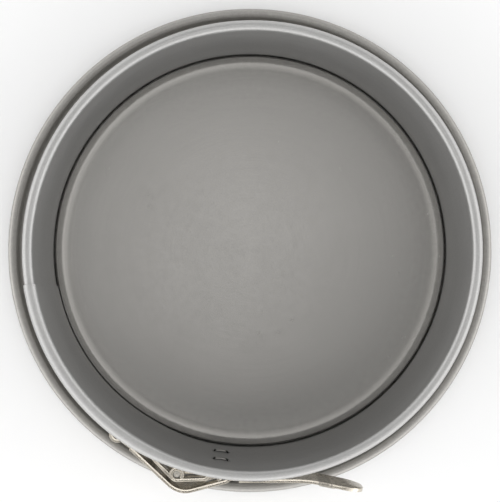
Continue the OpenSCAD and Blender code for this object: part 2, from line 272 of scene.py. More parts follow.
# %% Finish nodes
class Finish:
    """A material whose nodes are added one by one."""

    def __init__(self, name, **constants):
        self.material = bpy.data.materials.new(name)
        self.material.use_nodes = True
        self.tree = self.material.node_tree
        self.shader = self.tree.nodes["Principled BSDF"]
        for socket, value in constants.items():
            self.shader.inputs[socket.replace("_", " ")].default_value = value
        self.place = self.node("ShaderNodeTexCoord", {}, {}, "Object")

    def feed(self, socket, value):
        if isinstance(value, Wire):
            self.tree.links.new(value.socket, socket)
        else:
            socket.default_value = value

    def node(self, kind, settings, sockets, output=0):
        """Adds a node: its settings first, then the values or links of its sockets."""
        made = self.tree.nodes.new(kind)
        for name, value in settings.items():
            setattr(made, name, value)
        for name, value in sockets.items():
            self.feed(made.inputs[name], value)
        return Wire(self, made.outputs[output])

    def stretched(self, scales):
        """The piece's own coordinates, in metres, times a scale along each axis."""
        return self.node(
            "ShaderNodeVectorMath",
            {"operation": "MULTIPLY"},
            {0: self.place, 1: scales},
        )

    def noise(self, vector, scale, detail=2.0, rough=0.5):
        """Noise between 0 and 1."""
        return self.node(
            "ShaderNodeTexNoise",
            {},
            {"Vector": vector, "Scale": scale, "Detail": detail, "Roughness": rough},
            "Fac",
        )

    def round_place(self, across, along):
        """Coordinates that run with the turning: fine across it and slow along it."""
        x, y, z = self.parts(self.place)
        radius = (x * x + y * y) ** 0.5 + 0.0001
        return self.node(
            "ShaderNodeCombineXYZ",
            {},
            {0: x / radius * along, 1: y / radius * along, 2: (radius + z) * across},
        )

    def parts(self, vector):
        """The three parts of a vector."""
        apart = self.node("ShaderNodeSeparateXYZ", {}, {0: vector}, 0)
        return [Wire(self, apart.socket.node.outputs[i]) for i in range(3)]

    def rise(self, value, low, high):
        """Rises softly from 0 to 1 between two values."""
        ends = {"Value": value, "From Min": low, "From Max": high}
        return self.node("ShaderNodeMapRange", {"interpolation_type": "SMOOTHSTEP"}, ends)

    def between(self, share, low, high):
        """Mixes two colours by a share."""
        return self.node(
            "ShaderNodeMix", {"data_type": "RGBA"}, {0: share, 6: low, 7: high}, 2
        )

    def bump(self, height, depth):
        """Turns a height pattern into a bump that is depth millimetres deep."""
        return self.node(
            "ShaderNodeBump", {}, {"Height": height, "Distance": depth * MM, "Strength": 1.0}
        )

    def wear(self, colour, rough, normal):
        """Feeds the shader's sockets that vary over the surface."""
        self.feed(self.shader.inputs["Base Color"], colour)
        self.feed(self.shader.inputs["Roughness"], rough)
        self.feed(self.shader.inputs["Normal"], normal)
        return self.material


print("varied over a surface:", "Base Color, Roughness, Normal")


# %% [markdown]
# ### Satin coat of the base
# The pan's sheet has a baked grey coat with fine metal flakes in it. It scatters a part
# of the light and reflects the rest as metal does, so it is set up as not quite a metal.
# A picture of the coat would show its edges and repeat, so noise is used: the mottling
# has two sizes, one below a millimetre and one of about two, and soft clouds keep the
# floor from looking flat. The turning marks of the press run round the floor, which is
# what the shader's anisotropy is for. The floor is smoother from use, and out on the lip
# the coat is dull. The coat's colour is the same all over, but it is given in two copies:
# a darker one on the floor, and a lighter one as painted light, from near the floor's edge
# out over the lip. A piece's own coordinates are in metres, and so are the distances in
# this finish.


# %% Base finish
# Two copies of one coat colour: the darker one for the floor, and a lighter one that is painted
# light.
FLOOR_COAT = ((0.122, 0.118, 0.113, 1), (0.304, 0.296, 0.28, 1))
PAINTED_LIGHT_COAT = ((0.208, 0.2, 0.19, 1), (0.52, 0.506, 0.478, 1))
PAINTED_LIGHT_FROM = (0.078, 0.088)
LIP_START = (0.09, 0.1)
COAT_DEPTH = 0.007


def satin_base():
    skin = Finish("satin_coat", Metallic=0.8, Anisotropic=0.4)
    grain = skin.noise(skin.place, 1500.0, 3.0, 0.65)
    fleck = skin.noise(skin.place, 520.0, 2.0)
    cloud = skin.noise(skin.place, 20.0, 3.0)
    turning = skin.noise(skin.round_place(2600.0, 1.5), 1.0, 2.0)
    mottle = grain * 0.4 + fleck * 0.3 + cloud * 0.15 + turning * 0.15
    x, y, _ = skin.parts(skin.place)
    radius = (x * x + y * y) ** 0.5
    darker = skin.between(mottle, *FLOOR_COAT)
    light = skin.between(mottle, *PAINTED_LIGHT_COAT)
    # Painted light: the lighter copy of the coat comes in from near the floor's edge and covers
    # the lip.
    colour = skin.between(skin.rise(radius, *PAINTED_LIGHT_FROM), darker, light)
    outside = skin.rise(radius, *LIP_START)
    rough = 0.24 + outside * 0.28 + (fleck - 0.5) * 0.1 + (cloud - 0.5) * 0.06
    height = grain * 0.6 + turning * 0.4
    return skin.wear(colour, rough, skin.bump(height, COAT_DEPTH))


base_skin = satin_base()
print("finish", base_skin.name)

# %% [markdown]
# ### Rolled coat of the band
# The band's strip is drawn through rollers, so its marks run along it. It has the same
# coat with less mottling. No knife or cake has rubbed it smooth, so it is duller than
# the floor, and its rolled edge has a soft sheen in place of a sharp line of light.


# %% Band finish
BAND_COAT = ((0.27, 0.268, 0.263, 1), (0.58, 0.576, 0.566, 1))


def rolled_band():
    skin = Finish("rolled_coat", Metallic=0.8, Anisotropic=0.2)
    grain = skin.noise(skin.place, 1300.0, 3.0, 0.6)
    cloud = skin.noise(skin.place, 26.0, 3.0)
    drawn = skin.noise(skin.round_place(2200.0, 2.0), 1.0, 2.0)
    mottle = grain * 0.4 + cloud * 0.2 + drawn * 0.4
    colour = skin.between(mottle, *BAND_COAT)
    rough = 0.5 + (cloud - 0.5) * 0.08 + (drawn - 0.5) * 0.08
    return skin.wear(colour, rough, skin.bump(drawn * 0.7 + grain * 0.3, COAT_DEPTH))


band_skin = rolled_band()
print("finish", band_skin.name)

# %% [markdown]
# ### Bare steel of the staples
# Two staples hold the latch's foot to the band. Their backs are bare steel, and their
# ends lie deep in punched slots, where hardly any light gets. Fine slots like these stay
# too light in a soft studio, so the finish paints shade towards both ends. It needs to
# know how far a point is from the staples' middle, in millimetres, and that middle lies
# 13 mm left of the pan's.


# %% Staple finish
STAPLE_MIDDLE_X = -13.0
SLOT_SHADE_SPAN = (1.8, 2.4)
BACK_STEEL = (0.42, 0.41, 0.39, 1)
SLOT_SHADE_COLOUR = (0.025, 0.024, 0.022, 1)


def clinched():
    """Strap of the staples: bright steel on its back, with painted shade where it dives into
    its slots.
    """
    skin = Finish("clinched_steel", Metallic=1.0)
    x = skin.parts(skin.place)[0] / MM - STAPLE_MIDDLE_X
    slot_shade = skin.rise((x * x) ** 0.5, *SLOT_SHADE_SPAN)
    # Painted shade: the strap darkens towards both ends, where it goes into its slots.
    colour = skin.between(slot_shade, BACK_STEEL, SLOT_SHADE_COLOUR)
    grain = skin.noise(skin.place, 1500.0, 2.0)
    return skin.wear(colour, 0.35 + slot_shade * 0.2, skin.bump(grain, 0.004))


staple_skin = clinched()
print("finish", staple_skin.name)

# %% [markdown]
# ### Nickel of the latch
# The latch is stamped plate with a warm nickel coat: brighter than the pan, almost
# smooth, with fine random scratches and slightly duller patches. The lever has a worn
# patch past its bend, where the nickel is duller and darker. One function makes all three
# finishes, so the plates and the rods match, and only the lever asks for the patch.


# %% Latch finishes
PLATE_COAT = ((0.54, 0.495, 0.415, 1), (0.76, 0.705, 0.615, 1))
ROD_COAT = ((0.5, 0.475, 0.43, 1), (0.72, 0.69, 0.64, 1))
RUBBED_COAT = (0.3, 0.28, 0.245, 1)
RUBBED_X = (28.0, 34.0)
RUBBED_FADE = 0.5


def nickel(name, coat, rough_middle, rubbed=None):
    skin = Finish(name, Metallic=1.0)
    cloud = skin.noise(skin.place, 160.0, 3.0)
    grain = skin.noise(skin.place, 1800.0, 2.0)
    scratch = skin.noise(skin.stretched((300.0, 300.0, 2600.0)), 1.0, 2.0)
    mottle = cloud * 0.5 + scratch * 0.5
    colour = skin.between(mottle, *coat)
    rough = rough_middle + (cloud - 0.5) * 0.1 + (scratch - 0.5) * 0.08
    height = scratch * 0.6 + grain * 0.4
    if rubbed:
        x = skin.parts(skin.place)[0] / MM
        blotch = skin.rise(skin.noise(skin.place, 900.0, 4.0, 0.7), 0.32, 0.62)
        start, end = (skin.rise(x, at - RUBBED_FADE, at + RUBBED_FADE) for at in rubbed)
        darker = (start - end) * blotch
        colour = skin.between(darker, colour, RUBBED_COAT)
        rough = rough + darker * 0.2
        height = height - darker * 0.8
    return skin.wear(colour, rough, skin.bump(height, 0.005))


plate_nickel = nickel("plate_nickel", PLATE_COAT, 0.27)
lever_nickel = nickel("lever_nickel", PLATE_COAT, 0.27, RUBBED_X)
rod_nickel = nickel("rod_nickel", ROD_COAT, 0.3)
print("finishes", plate_nickel.name, lever_nickel.name, rod_nickel.name)

# %% [markdown]
# ## Dressing a piece
# Each finished piece goes through the same last steps: it gets its finish, it is told
# which moving body carries it, and it takes the place of the solid that it was modelled
# over. The piece itself stays where it was modelled, with its place in its mesh, so that
# a pattern that is set out from the pan's axis fits it.


# %% Dressing
def dress(piece, body, slot, finish, *nodes):
    """Gives a finished piece its material and its body, and hides the solids it shows; the slot
    is not used.
    """
    piece.data.materials.clear()
    piece.data.materials.append(finish)
    shade(piece)
    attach(piece, body)
    if nodes:
        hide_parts(*nodes)


# %% [markdown]
# ## The base
# The base is one pressed disc. A flat floor is raised on a rounded shoulder, then the
# sheet turns up from a flat drip channel into a low lip, and the lip ends in a rolled
# edge. A disc could be inset and raised ring by ring, but its bends are easier to set
# out from the side. So its section is drawn once, from the middle outwards, and spun all
# the way round. A faint ridge near the floor's edge catches the light, as pressed floors do.

# %% Base
BASE_T = 0.7
FLOOR_MID_Z = 4.35
SHOULDER = (87.62, 4.0)
SHOULDER_R = 0.35
WALL_FOOT = (88.55, 0.95)
CHANNEL_END = 102.85
LIP_BEND_R = 2.85
LIP_BEAD = (107.45, 5.2)
LIP_BEAD_R = 1.75
RIDGE = ((84.2, 0.0), (85.0, 0.05), (85.8, 0.06), (86.7, 0.02))
FLOOR_RINGS = (0, 20, 40, 60, 75, 82)
CHANNEL_RING = 95
CHANNEL_Z = 0.35
WALL_FOOT_R = 0.6
ROUND_STEPS = 240

base_section = [(r, FLOOR_MID_Z) for r in FLOOR_RINGS]
base_section += [(r, FLOOR_MID_Z + rise) for r, rise in RIDGE]
base_section += arc(SHOULDER, SHOULDER_R, 90, 0, 10)
base_section += arc(WALL_FOOT, WALL_FOOT_R, 180, 270, 6)
base_section += [(CHANNEL_RING, CHANNEL_Z)]
base_section += arc((CHANNEL_END, CHANNEL_Z + LIP_BEND_R), LIP_BEND_R, -90, 0, 10)
base_section += arc(LIP_BEAD, LIP_BEAD_R, 180, -120, 28)
cake_base = draw_chain("cake_base", [(r, 0, z) for r, z in base_section])
spin_round(360, ROUND_STEPS)
thicken(cake_base, BASE_T)
dress(cake_base, "base", "base_steel", base_skin, "base_plate")

# %% [markdown]
# ## The band
# The band is one long strip. Its lower part has a rib that holds the base, and its top
# is rolled outwards round nothing. From the seam, the strip runs inside its own other
# end for about fifty degrees, then it steps outwards by a little more than its thickness
# and goes on round as a single layer until its outer end lies under the latch. A closed
# ring with a drawn line would have no step and no real ends, so the strip is followed
# all its way: the section is drawn at the seam, spun, carried through the step bit by
# bit, and spun again.

# %% Band section
BAND_T = 0.45
LAYER_STEP = 0.55
WALL_R = 89.125
RIB_Z = 3.9
RIB_REACH = 1.8
BEAD = (91.1, 68.5)
BEAD_R = 1.975
RIB_HALF = (2.2, 1.6)
SEAM_A = 188.6
STEP_A = (238, 258)
FOOT_Z = 0.7
WALL_RINGS = (10, 20, 30, 40, 50, 60)
INNER_STEPS = 50


def band_section(nested):
    """Places of the section, as radius and height. Nested is 1 for the inner layer."""
    wall = WALL_R - LAYER_STEP * nested
    half = RIB_HALF[0] + (RIB_HALF[1] - RIB_HALF[0]) * nested
    shares = [-1 + i / 9 for i in range(19)]
    rib = [
        (wall + RIB_REACH * math.cos(math.pi / 2 * s) ** 1.5, RIB_Z + half * s)
        for s in shares
    ]
    side = [(wall, z) for z in WALL_RINGS]
    rolled = arc(BEAD, BEAD_R + LAYER_STEP * nested, 180, -140, 28)
    return [(wall, FOOT_Z)] + rib + side + rolled


def on_round(r, z, degrees):
    turn = math.radians(degrees)
    return (r * math.cos(turn), r * math.sin(turn), z)


seam_section = [on_round(r, z, SEAM_A) for r, z in band_section(1)]
side_band = draw_chain("side_band_sheet", seam_section)
spin_round(STEP_A[0] - SEAM_A, INNER_STEPS)
print("inner layer", round(STEP_A[0] - SEAM_A, 1), "degrees")

# %% [markdown]
# ### The seam
# The visible end of the inner layer isn't cut square: it leans a little. Moving its
# points by hand would bend the rib and the roll, and a plane through the end's top corner
# cuts all of them straight. The inner layer is still alone here, so the whole of it can
# be selected. The points at the step are picked again afterwards, to go on from.

# %% Leaning seam
SEAM_LEAN = 3.3
BAND_H = 70
SAME_HEADING = 0.05

seam_top = Vector(on_round(BEAD[0], BEAD[1] + BEAD_R, SEAM_A)) * MM
outward = Vector(on_round(1, 0, SEAM_A))
along = Vector(on_round(1, 0, SEAM_A + 90))
slope = (along * SEAM_LEAN - Vector((0, 0, BAND_H))).normalized()
bpy.ops.mesh.select_all(action="SELECT")
bpy.ops.mesh.bisect(
    plane_co=seam_top, plane_no=outward.cross(slope), clear_inner=True, clear_outer=False
)
end_count = pick(
    "VERT",
    lambda p: abs(math.degrees(math.atan2(p.y, p.x)) % 360 - STEP_A[0]) < SAME_HEADING,
)
print("points at the step", end_count)

# %% [markdown]
# ### The step
# Past the place where the two layers part, the strip eases outwards, its rib grows to the
# full height and its roll becomes one layer smaller. A spin can't change a section on its
# way, so here the section goes on in small steps: pulled out, turned, and then moved or
# scaled a little in three parts, the wall, the rib and the roll. After the step, a spin
# takes the single layer nearly all the way round, to its hidden outer end.


# %% Step to one layer
STEP_COUNT = 20
OUTER_END_A = 594.186
OUTER_STEPS = 168
WALL_TOP_Z = BEAD[1] - 1
ROLL_FROM_Z = BEAD[1] - 3
NEAR = 0.1


def picked_points():
    mesh = bmesh.from_edit_mesh(bpy.context.object.data)
    return [v.index for v in mesh.verts if v.select]


def pick_again(indexes, test=None):
    """Selects these points, or those of them that pass."""
    shape = bpy.context.object.data
    bpy.ops.mesh.select_all(action="DESELECT")
    mesh = bmesh.from_edit_mesh(shape)
    mesh.verts.ensure_lookup_table()
    for i in indexes:
        mesh.verts[i].select = test is None or test(mesh.verts[i].co / MM)
    mesh.select_flush(True)
    bmesh.update_edit_mesh(shape)


def ease(share):
    return share * share * (3 - 2 * share)


step_turn = (STEP_A[1] - STEP_A[0]) / STEP_COUNT
nested = 1.0
for i in range(STEP_COUNT):
    bpy.ops.mesh.extrude_region_move()
    bpy.ops.transform.rotate(
        value=-math.radians(step_turn), orient_axis="Z", center_override=(0, 0, 0)
    )
    section = picked_points()
    after = 1 - ease((i + 1) / STEP_COUNT)
    heading = STEP_A[0] + (i + 1) * step_turn
    outward = Vector(on_round(1, 0, heading))
    pick_again(section, lambda p: p.z < WALL_TOP_Z)
    bpy.ops.transform.translate(value=outward * LAYER_STEP * (nested - after) * MM)
    pick_again(section, lambda p: abs(p.z - RIB_Z) < RIB_HALF[0] + NEAR)
    halves = [RIB_HALF[0] + (RIB_HALF[1] - RIB_HALF[0]) * n for n in (nested, after)]
    bpy.ops.transform.resize(
        value=(1, 1, halves[1] / halves[0]), center_override=(0, 0, RIB_Z * MM)
    )
    pick_again(section, lambda p: p.z >= ROLL_FROM_Z)
    sizes = [BEAD_R + LAYER_STEP * n for n in (nested, after)]
    middle = Vector(on_round(BEAD[0], BEAD[1], heading)) * MM
    bpy.ops.transform.resize(value=(sizes[1] / sizes[0],) * 3, center_override=middle)
    pick_again(section)
    nested = after
spin_round(OUTER_END_A - STEP_A[1], OUTER_STEPS)
thicken(side_band, BAND_T)
print("single layer", round(OUTER_END_A - STEP_A[1], 1), "degrees")

# %% [markdown]
# ## Places on the latch
# Each piece of the latch is set out from the wall of the band: so far along it from the
# fulcrum pin, and so far out from it. Plain x and y would hide how the plates follow the
# round wall. The places of the three pins come first, those of the fulcrum, the link pin
# and the anchor, because every fold and curl is measured from them.

# %% Latch places
FULCRUM_A = 251.5
WALL_OUT = 89.35
MID_Z = 37.2
LATCH_H = 26
WINDOW_H = 12
TONGUE_H = 11.4
HOOK_H = 18
EAR_H = 8
LATCH_T = 1.5
PIN_R = 1.6
EYE_R = 1.66
CURL_R = EYE_R + LATCH_T / 2


def at_wall(along, off):
    """A place in plan, along the wall from the fulcrum and off the wall."""
    turn = math.radians(FULCRUM_A) + along / WALL_OUT
    return Vector(((WALL_OUT + off) * math.cos(turn), (WALL_OUT + off) * math.sin(turn)))


def from_wall(p):
    """The distance along the wall from the fulcrum, and off the wall, in mm."""
    turn = math.atan2(p.y, p.x) % (2 * math.pi) - math.radians(FULCRUM_A)
    return turn * WALL_OUT, math.hypot(p.x, p.y) / MM - WALL_OUT


def heading_to(p, q):
    return math.degrees(math.atan2(q[1] - p[1], q[0] - p[0]))


def touch(p, centre, radius, side):
    """Direction from the centre at which a line from p touches the circle."""
    apart = math.hypot(p[0] - centre[0], p[1] - centre[1])
    return heading_to(centre, p) + side * math.degrees(math.acos(radius / apart))


FULCRUM = at_wall(0, 9.6)
LINK_PIN = at_wall(18, 5.9)
ANCHOR = at_wall(-27, 6.4)
print("pins", [tuple(round(c, 1) for c in p) for p in (FULCRUM, LINK_PIN, ANCHOR)])

# %% [markdown]
# ### Folding a plate
# A latch plate is drawn as a line in plan, as it is seen from above. Its folds are
# rounded while they are single points, which is the easiest time, and then the line is
# pulled up into a plate. Level cuts and deleted faces make its windows and narrow ends,
# all before the sheet gets its thickness, so that no window needs a Boolean.


# %% Folded plates
SAME_FOLD = 0.02


def folded(name, places, height, soft_folds=()):
    """Draws a plate on edge, rounds its folds and pulls it up to its height."""
    low = MID_Z - height / 2
    piece = draw_chain(name, [(p[0], p[1], low) for p in places])
    for place, radius in soft_folds:
        spot = Vector((place[0], place[1], low)) * MM
        pick("VERT", lambda p: (p - spot).length < SAME_FOLD * MM)
        bpy.ops.mesh.bevel(affect="VERTICES", offset=radius * MM, segments=5)
    bpy.ops.mesh.select_all(action="SELECT")
    bpy.ops.mesh.extrude_region_move(
        TRANSFORM_OT_translate={"value": (0, 0, height * MM)}
    )
    return piece


def cut_level(*heights):
    """Cuts all faces at these heights from the latch's middle, above and below it."""
    for height in heights:
        for side in (-1, 1):
            bpy.ops.mesh.select_all(action="SELECT")
            level = (0, 0, (MID_Z + side * height / 2) * MM)
            bpy.ops.mesh.bisect(plane_co=level, plane_no=(0, 0, 1))


def remove_faces(test):
    """Deletes the faces whose place passes: along the wall, off it, and from mid height."""
    count = pick("FACE", lambda p: test(*from_wall(p), abs(p.z / MM - MID_Z)))
    bpy.ops.mesh.delete(type="FACE")
    print("  cut", count, "faces")


print("latch between", MID_Z - LATCH_H / 2, "and", MID_Z + LATCH_H / 2, "mm up")


# %% [markdown]
# ## The link
# The link is a bowed plate. Its near end curls round the link pin in two knuckles, with
# the lever's curl between them, and its far end is a hook that catches the anchor pin
# from outside, so that it can be lifted off when the pan is open. Every curl starts where
# the flat of the plate just touches its circle, so the curl runs on without a kink.

# %% Link
HOOK_PLAY = 0.5
HOOK_R = PIN_R + HOOK_PLAY + LATCH_T / 2
HOOK_ENDS = (186, 12)
NECK, NECK_SOFT = at_wall(-20, 8), 1.6
BOW_START, BOW_END, BOW_SOFT = at_wall(0.35, 15.7), at_wall(4.85, 15.7), 2.2
KNUCKLE_TURN = 312
EAR_SLOT_H = EAR_H + 0.6
NARROW_S = -20.6
EAR_SLOT_S = -21.5
KNUCKLE_S = 12
LINK_ROUNDING = 0.28

pull = heading_to(ANCHOR, LINK_PIN)
lean = heading_to(ANCHOR, NECK)
hook_middle = ANCHOR - HOOK_PLAY * Vector(on_round(1, 0, pull)).to_2d()
link_touch = touch(BOW_END, LINK_PIN, CURL_R, 1)
knuckle = arc(LINK_PIN, CURL_R, link_touch, link_touch + KNUCKLE_TURN, 32)
link_path = arc(hook_middle, HOOK_R, pull - HOOK_ENDS[0], lean - HOOK_ENDS[1], 18)
link_path += [tuple(NECK), tuple(BOW_START), tuple(BOW_END)]
link_path += [tuple(BOW_END.lerp(Vector(knuckle[0]), 0.5))] + knuckle
link_folds = [(NECK, NECK_SOFT), (BOW_START, BOW_SOFT), (BOW_END, BOW_SOFT)]
link = folded("link_plate", link_path, LATCH_H, link_folds)
cut_level(HOOK_H, EAR_SLOT_H, WINDOW_H)
remove_faces(lambda s, off, z: s < NARROW_S and z > HOOK_H / 2)
remove_faces(lambda s, off, z: s < EAR_SLOT_S and z < EAR_SLOT_H / 2)
remove_faces(lambda s, off, z: s > KNUCKLE_S and z < WINDOW_H / 2)
thicken(link, LATCH_T, LINK_ROUNDING)
dress(link, "link", "latch_plate", plate_nickel, "link")

# %% [markdown]
# ## The fulcrum bracket
# A small tent of plate stands on the band. Its foot is clinched to the wall, its roof
# curls round the fulcrum pin, and a free leg rests on the wall on the other side. The
# middle of the roof is cut away, so that the lever's tongue can swing through. A line
# that meets itself at the curl can't be thickened cleanly, so the two halves of the tent
# are folded separately and welded at the curl.

# %% Fulcrum bracket
FOOT_START, FOOT_STEP, FOOT_POINTS = 19.8, 2, 5
WINDOW_OFF = 3.5
RISER_LOW, RISER_TOP = at_wall(11.8, WINDOW_OFF), at_wall(11.8, 8.2)
LEG_FOLD, TOE = at_wall(-11, 7), at_wall(-18, 0.475)
LEG_WINDOW_S = -6.6
LEG_WINDOW_SHARE = 0.4
FOOT_SOFT, ROOF_SOFT = 1.0, 1.6
CURL_TURN = 318
LEG_CURL_TURN = 40
BRACKET_ROUNDING = 0.25

foot_stations = [FOOT_START - i * FOOT_STEP for i in range(FOOT_POINTS)]
foot = [tuple(at_wall(s, LATCH_T / 2)) for s in foot_stations]
near_touch = touch(RISER_TOP, FULCRUM, CURL_R, -1)
near_path = foot + [tuple(RISER_LOW), tuple(RISER_TOP)]
near_path += arc(FULCRUM, CURL_R, near_touch, near_touch - CURL_TURN, 34)
near_folds = [(foot[-1], FOOT_SOFT), (RISER_TOP, ROOF_SOFT)]
bracket = folded("bracket_plate", near_path, LATCH_H, near_folds)
cut_level(WINDOW_H)
remove_faces(lambda s, off, z: off > WINDOW_OFF and z < WINDOW_H / 2)
thicken(bracket, LATCH_T, BRACKET_ROUNDING)

far_touch = touch(LEG_FOLD, FULCRUM, CURL_R, 1)
leg_curl = arc(FULCRUM, CURL_R, far_touch, far_touch + LEG_CURL_TURN, 5)
leg_cut = LEG_FOLD.lerp(Vector(leg_curl[0]), LEG_WINDOW_SHARE)
far_path = [tuple(TOE), tuple(LEG_FOLD), tuple(leg_cut)] + leg_curl
free_leg = folded("free_leg", far_path, LATCH_H, [(LEG_FOLD, ROOF_SOFT)])
cut_level(WINDOW_H)
remove_faces(lambda s, off, z: s > LEG_WINDOW_S and z < WINDOW_H / 2)
thicken(free_leg, LATCH_T, BRACKET_ROUNDING)

# %% [markdown]
# ## The staples
# The foot is held by two staples. Each is a narrow strap whose ends go through slots in
# the band and whose back lies on its inside, where it shows as a low grey bridge between
# two dark slots. The slots are a little longer and wider than the strap needs, as punched
# slots are, so each end of the bridge has a dark mark beside it, darkened further by
# painted shade on the strap's ends. A slot goes through the band and the bracket's foot,
# so blocks at the same places are cut from both. Straps and sheets only lie side by side,
# so the two straps are joined and not welded.

# %% Staples and their slots
STAPLE_Z = (26.4, 48.0)
STAPLE_H = 2.8
STAPLE_T = 0.5
STAPLE_ENDS = (12.8, 18.8)
SLOT_W = 1.3
SLOT_H = 3.1
SLOT_OUT = 0.3
SLOT_DEPTH = 3.0
SLOT_MIDDLE = -0.2
STAPLE_END = 0.4
STAPLE_BACK = -0.75
STAPLE_CROWN = 0.5
STAPLE_STEPS = 8
STAPLE_ROUNDING = 0.15


def staple(z):
    """A strap through two slots, crowned a little on the inside of the band."""
    near, far = STAPLE_ENDS
    places = [at_wall(near, STAPLE_END)]
    for i in range(STAPLE_STEPS + 1):
        share = i / STAPLE_STEPS
        crown = STAPLE_CROWN * math.sin(math.pi * share)
        places.append(at_wall(near + (far - near) * share, STAPLE_BACK - crown))
    places.append(at_wall(far, STAPLE_END))
    strap = draw_chain("strap", [(p[0], p[1], z - STAPLE_H / 2) for p in places])
    bpy.ops.mesh.extrude_region_move(
        TRANSFORM_OT_translate={"value": (0, 0, STAPLE_H * MM)}
    )
    thicken(strap, STAPLE_T, STAPLE_ROUNDING)
    return strap


def slot_cutter(z, along):
    """A block through the wall of the band, where a staple goes through."""
    fresh()
    middle = at_wall(along, SLOT_MIDDLE)
    bpy.ops.mesh.primitive_cube_add(
        size=MM,
        location=(middle[0] * MM, middle[1] * MM, z * MM),
        rotation=(0, 0, math.atan2(middle[1], middle[0])),
        scale=(SLOT_DEPTH, SLOT_W, SLOT_H),
    )
    cutter = bpy.context.object
    bpy.ops.object.transform_apply(location=True, rotation=True, scale=True)
    return cutter


def unite(piece, *others, operation="UNION"):
    """Welds other pieces to this one, or cuts them from it, and removes them."""
    for other in others:
        modify(piece, "BOOLEAN", object=other, operation=operation, solver="EXACT")
        bpy.data.objects.remove(other)


def join(pieces, name):
    """Makes one piece of several that only lie side by side."""
    fresh()
    for piece in pieces:
        piece.select_set(True)
    bpy.context.view_layer.objects.active = pieces[0]
    bpy.ops.object.join()
    bpy.context.object.name = name
    return bpy.context.object


slot_places = (STAPLE_ENDS[0] - SLOT_OUT, STAPLE_ENDS[1] + SLOT_OUT)
for sheet in (side_band, bracket):
    cutters = [slot_cutter(z, end) for z in STAPLE_Z for end in slot_places]
    unite(sheet, *cutters, operation="DIFFERENCE")
unite(bracket, free_leg)
dress(side_band, "band", "band_steel", band_skin, "side_band")
dress(bracket, "band", "latch_plate", plate_nickel, "fulcrum_bracket")
dress(join([staple(z) for z in STAPLE_Z], "staples"), "band", "band_steel", staple_skin)

# %% [markdown]
# ## The lever
# The lever is the handle plate. Its narrow tongue curls round the link pin, and a web
# joins that curl to an eye on the fulcrum pin. Past the tongue the handle runs on beside
# the wall, then bends away from it to a tip with large round corners and a low rib for a
# finger. Rounding the corners of a finished plate would catch on its rib and its cuts, so
# they are rounded while each face is still one tall strip.

# %% Lever
LEVER_H = 22
CORNER = 8.6
RIB = (5.4, 11.2)
RIB_RAMP = 1.2
RIB_RISE = 0.6
RIB_MARGINS = (1.0, 1.8)
BEND, BEND_SOFT = at_wall(50.5, 10.5), 5
TIP = at_wall(67.9, 23)
TONGUE_L = 6.2
LEVER_ROUNDING = 0.3

lever_touch = touch(BEND, LINK_PIN, CURL_R, -1)
lever_curl = arc(LINK_PIN, CURL_R, lever_touch, lever_touch - CURL_TURN, 32)
lever_root = Vector(lever_curl[0])
tail_way = (BEND - lever_root).normalized()
pad_way = (TIP - BEND).normalized()
lever_neck = lever_root + tail_way * TONGUE_L
pad_l = (TIP - BEND).length
rib_stations = (RIB[0] - RIB_RAMP, RIB[0], RIB[1], RIB[1] + RIB_RAMP)
lever_path = [tuple(BEND + pad_way * s) for s in (pad_l,) + rib_stations[::-1]]
lever_path += [tuple(BEND), tuple(lever_root.lerp(BEND, 0.5)), tuple(lever_neck)]
lever_path += lever_curl
lever = folded("lever_handle", lever_path, LEVER_H, [(BEND, BEND_SOFT)])


def along_pad(p):
    return (Vector((p.x, p.y)) / MM - BEND).dot(pad_way)


def before_neck(s, off, z):
    return (at_wall(s, off) - lever_neck).dot(tail_way) < -NEAR and z > TONGUE_H / 2


def on_rib(p):
    between_ends = RIB[0] - NEAR < along_pad(p) < RIB[1] + NEAR
    return between_ends and abs(p.z / MM - MID_Z) < LEVER_H / 2 - RIB_MARGINS[1] + NEAR


pick("VERT", lambda p: along_pad(p) > pad_l - NEAR)
bpy.ops.mesh.bevel(affect="VERTICES", offset=CORNER * MM, segments=9)
cut_level(TONGUE_H, LEVER_H - 2 * RIB_MARGINS[1], LEVER_H - 2 * RIB_MARGINS[0])
remove_faces(before_neck)
print("rib points", pick("VERT", on_rib))
rise = Vector((pad_way[1], -pad_way[0], 0)) * RIB_RISE * MM
bpy.ops.transform.translate(value=rise)
thicken(lever, LATCH_T, LEVER_ROUNDING)

# %% [markdown]
# ### The lever's web
# Inside its tongue, a straight web runs from the curl on the link pin to an eye on the
# fulcrum pin. Both are folded as the plates are, a line and a full circle, and welded to
# the lever. The web stops short of both pins, inside the eye and the curl.

# %% Web and eye
WEB_END = 2.4
EYE_ROUNDING = 0.2

web_way = (LINK_PIN - FULCRUM).normalized()
web_ends = (FULCRUM + web_way * WEB_END, LINK_PIN - web_way * WEB_END)
web = folded("web", [tuple(end) for end in web_ends], TONGUE_H)
thicken(web, LATCH_T)
eye = folded("pin_eye", arc(FULCRUM, CURL_R, 0, 360, 40), TONGUE_H)
thicken(eye, LATCH_T, EYE_ROUNDING)
unite(lever, web, eye)
dress(lever, "lever", "latch_plate", lever_nickel, "lever")

# %% [markdown]
# ## The anchor
# On the other end of the band, under the link's hook, a plate is riveted to the wall.
# A narrow ear rises from it and curls round the anchor pin. Plate and ear are one strip
# on most such latches too, so they are one line here, and the ear is what is left when the
# faces above and below it are deleted.

# %% Anchor plate
ANCHOR_T = 1.2
ANCHOR_H = 22
PLATE = (-46.6, -30.6)
PLATE_STEP, PLATE_POINTS = 2, 8
PLATE_CORNER = 1.9
EAR_TURN = 315
EAR_SOFT = 0.6
EAR_S = PLATE[1] + 0.4
EAR_OFF = 1.0
ANCHOR_ROUNDING = 0.2

